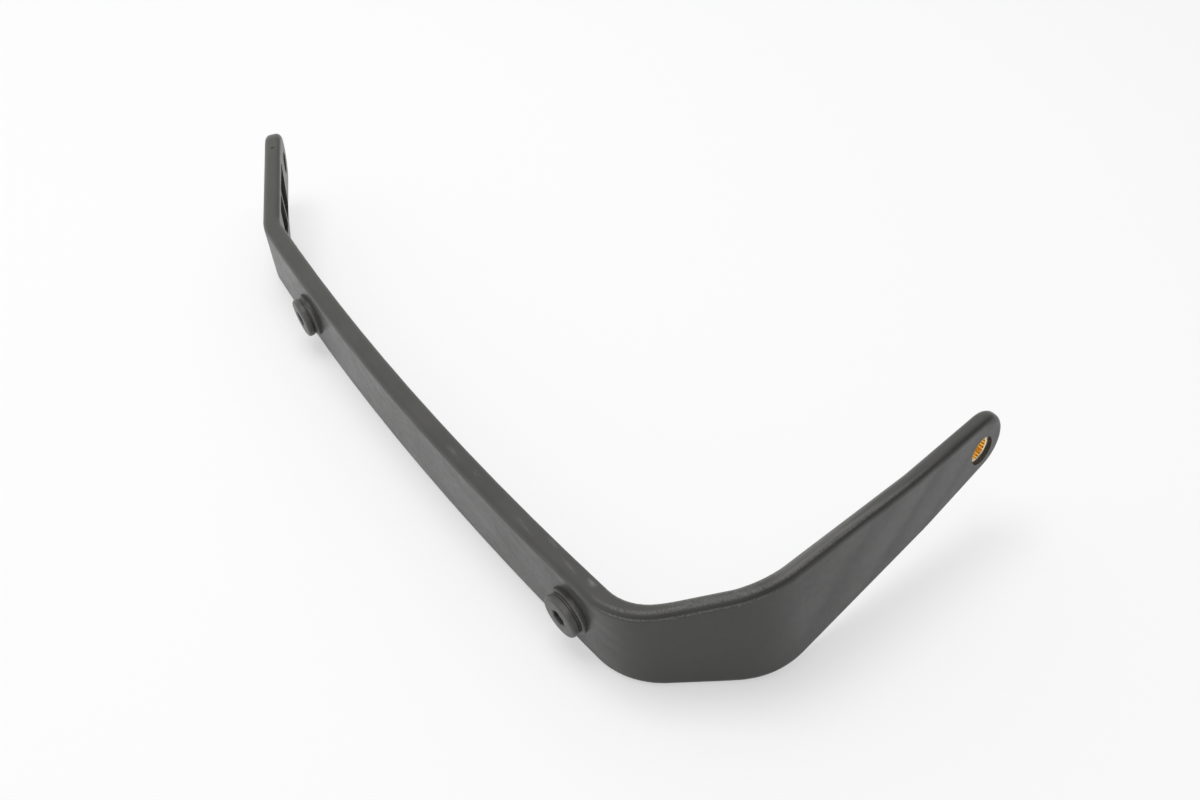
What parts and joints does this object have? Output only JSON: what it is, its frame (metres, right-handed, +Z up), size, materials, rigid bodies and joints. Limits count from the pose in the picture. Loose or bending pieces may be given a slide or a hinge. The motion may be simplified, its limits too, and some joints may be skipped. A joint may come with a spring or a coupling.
{
  "type": "motorcycle hand guard",
  "caption": "Wrap-round hand guard: a bowed moulded strip with a long bushed arm for the handlebar end, a short leaning arm for the inner clamp, and screwed front seats.",
  "frame": {"origin": "on the surface that the lower edge stands on, under the middle of the whole part's box", "axes": "+X along the bar towards the long arm, +Y back towards the rider, +Z up"},
  "size_m": [0.3114, 0.1478, 0.0456],
  "materials": {
    "moulding": "satin, fine moulded grain",
    "brass": "turned",
    "screws": "matt black"
  },
  "bodies": {
    "root": {"guard": "moulding", "bush": "brass", "screw_right": "screws", "screw_left": "screws"}
  },
  "joints": []
}
